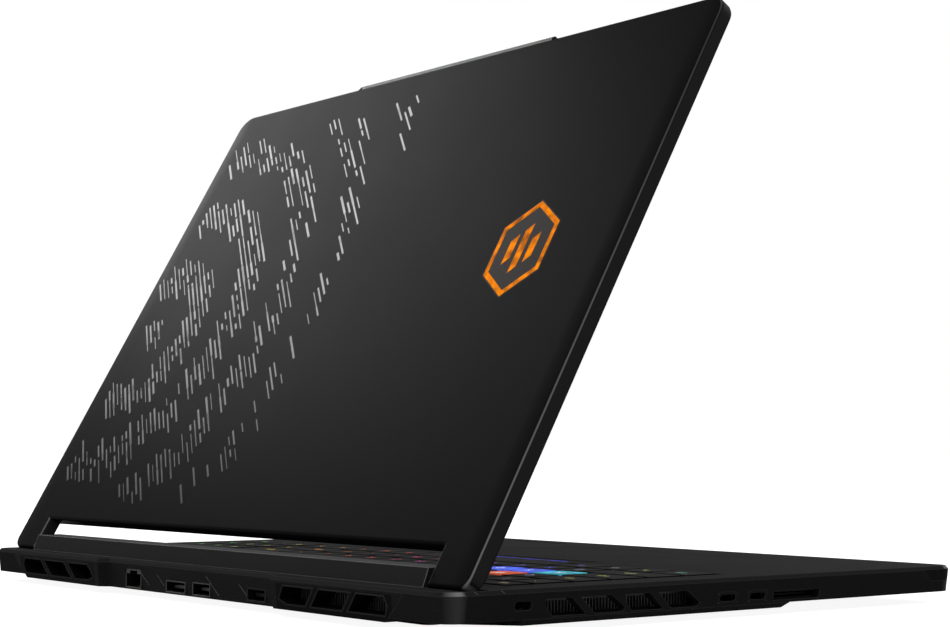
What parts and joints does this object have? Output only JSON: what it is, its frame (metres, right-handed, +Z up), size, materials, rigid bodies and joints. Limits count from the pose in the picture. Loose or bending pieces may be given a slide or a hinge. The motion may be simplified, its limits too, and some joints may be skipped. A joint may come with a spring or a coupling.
{
  "type": "laptop computer",
  "caption": "Open clamshell laptop computer with a notched lid on end hinges behind a raised hinge bar, slanted air vents, a full keyboard with number pad, and sockets at the rear and sides.",
  "frame": {"origin": "on the table, under the middle of the base", "axes": "+X to the user's right, +Y towards the rear, +Z up"},
  "size_m": [0.357, 0.27, 0.2395],
  "materials": {
    "case": "matt black",
    "rear_panel": "black with a fine diagonal weave",
    "cover": "matt black",
    "hinge_bar": "satin dark grey",
    "key_plate": "matt black",
    "light_bar": "smoked, dull",
    "board": "green board",
    "chips": "black",
    "copper": "bare copper",
    "fan": "black",
    "fins": "dull grey",
    "battery": "black wrap",
    "port_metal": "plated",
    "port_plastic": "black",
    "steel": "plain",
    "rubber": "matt black",
    "lid": "black, fine matt",
    "bezel": "matt black",
    "screen": "dark, switched off",
    "lip": "ribbed dark grey",
    "emblem": "amber, lit from inside",
    "touchpad": "smooth dark grey",
    "key": "dark grey",
    "key_orange": "lit orange",
    "key_cyan": "lit cyan",
    "key_blue": "lit blue"
  },
  "bodies": {
    "base": {"top_case": "case", "rear_panel": "rear_panel", "bottom_cover": "cover", "hinge_bar": "hinge_bar", "keyboard_plate": "key_plate", "front_light_bar": "light_bar", "mainboard": "board", "processor_chips": "chips", "heat_pipes": "copper", "fan_housing_left": "fan", "fan_housing_right": "fan", "rear_fin_stacks": "fins", "side_fin_stacks": "fins", "battery": "battery", "memory_modules": "board", "storage_drives": "board", "wireless_card": "board", "speakers": "fan", "network_port": "port_metal", "video_port": "port_metal", "rear_data_port": "port_metal", "power_inlet": "port_plastic", "slim_data_ports": "port_metal", "card_reader": "port_plastic", "right_data_ports": "port_metal", "audio_jack": "port_plastic", "lock_plate": "steel", "rear_feet": "rubber", "front_feet": "rubber", "bottom_screws": "steel", "hinge_bracket_left": "steel", "hinge_bracket_right": "steel"},
    "lid": {"lid_cover": "lid", "lid_bezel": "bezel", "display_panel": "screen", "camera_module": "chips", "camera_lip": "lip", "lid_emblem": "emblem", "hinge_arm_left": "steel", "hinge_arm_right": "steel", "lid_bumpers": "rubber"},
    "function_keys": {"function_keys": "key"},
    "number_keys": {"number_keys": "key"},
    "upper_letter_keys": {"upper_letter_keys": "key"},
    "home_letter_keys": {"home_letter_keys": "key"},
    "lower_letter_keys": {"lower_letter_keys": "key"},
    "bottom_keys": {"bottom_keys": "key"},
    "number_pad_keys": {"number_pad_keys": "key"},
    "key_w": {"key_w": "key_orange"},
    "key_a": {"key_a": "key_cyan"},
    "key_s": {"key_s": "key_blue"},
    "key_d": {"key_d": "key_blue"},
    "space_bar": {"space_bar": "key"},
    "touchpad": {"touchpad": "touchpad"},
    "power_button": {"power_button": "key"},
    "fan_rotor_left": {"fan_rotor_left": "fan"},
    "fan_rotor_right": {"fan_rotor_right": "fan"},
    "camera_shutter": {"camera_shutter": "bezel"}
  },
  "joints": [
    {"name": "lid_hinge", "type": "hinge", "parent": "base", "child": "lid", "pos_m": [0, 0.11978, 0.0191], "axis": [-1, 0, 0], "range_deg": [-60.3, 70]},
    {"name": "function_keys_press", "type": "slide", "parent": "base", "child": "function_keys", "axis": [0, 0, -1], "range_m": [0, 0.0015], "stiffness_N_per_m": 6000},
    {"name": "number_keys_press", "type": "slide", "parent": "base", "child": "number_keys", "axis": [0, 0, -1], "range_m": [0, 0.0015], "stiffness_N_per_m": 5600},
    {"name": "upper_letter_keys_press", "type": "slide", "parent": "base", "child": "upper_letter_keys", "axis": [0, 0, -1], "range_m": [0, 0.0015], "stiffness_N_per_m": 5200},
    {"name": "home_letter_keys_press", "type": "slide", "parent": "base", "child": "home_letter_keys", "axis": [0, 0, -1], "range_m": [0, 0.0015], "stiffness_N_per_m": 4000},
    {"name": "lower_letter_keys_press", "type": "slide", "parent": "base", "child": "lower_letter_keys", "axis": [0, 0, -1], "range_m": [0, 0.0015], "stiffness_N_per_m": 5200},
    {"name": "bottom_keys_press", "type": "slide", "parent": "base", "child": "bottom_keys", "axis": [0, 0, -1], "range_m": [0, 0.0015], "stiffness_N_per_m": 3600},
    {"name": "number_pad_keys_press", "type": "slide", "parent": "base", "child": "number_pad_keys", "axis": [0, 0, -1], "range_m": [0, 0.0015], "stiffness_N_per_m": 7200},
    {"name": "key_w_press", "type": "slide", "parent": "base", "child": "key_w", "axis": [0, 0, -1], "range_m": [0, 0.0015], "stiffness_N_per_m": 400},
    {"name": "key_a_press", "type": "slide", "parent": "base", "child": "key_a", "axis": [0, 0, -1], "range_m": [0, 0.0015], "stiffness_N_per_m": 400},
    {"name": "key_s_press", "type": "slide", "parent": "base", "child": "key_s", "axis": [0, 0, -1], "range_m": [0, 0.0015], "stiffness_N_per_m": 400},
    {"name": "key_d_press", "type": "slide", "parent": "base", "child": "key_d", "axis": [0, 0, -1], "range_m": [0, 0.0015], "stiffness_N_per_m": 400},
    {"name": "space_bar_press", "type": "slide", "parent": "base", "child": "space_bar", "axis": [0, 0, -1], "range_m": [0, 0.0015], "stiffness_N_per_m": 400},
    {"name": "touchpad_click", "type": "slide", "parent": "base", "child": "touchpad", "axis": [0, 0, -1], "range_m": [0, 0.0003], "stiffness_N_per_m": 6000},
    {"name": "power_button_press", "type": "slide", "parent": "base", "child": "power_button", "axis": [0, 0, -1], "range_m": [0, 0.0005], "stiffness_N_per_m": 2000},
    {"name": "fan_spin_left", "type": "hinge", "parent": "base", "child": "fan_rotor_left", "pos_m": [-0.125, 0.066, 0.0055], "axis": [0, 0, 1], "continuous": true},
    {"name": "fan_spin_right", "type": "hinge", "parent": "base", "child": "fan_rotor_right", "pos_m": [0.125, 0.066, 0.0055], "axis": [0, 0, 1], "continuous": true},
    {"name": "shutter_slide", "type": "slide", "parent": "lid", "child": "camera_shutter", "axis": [-1, 0, 0], "range_m": [0, 0.0075]}
  ]
}
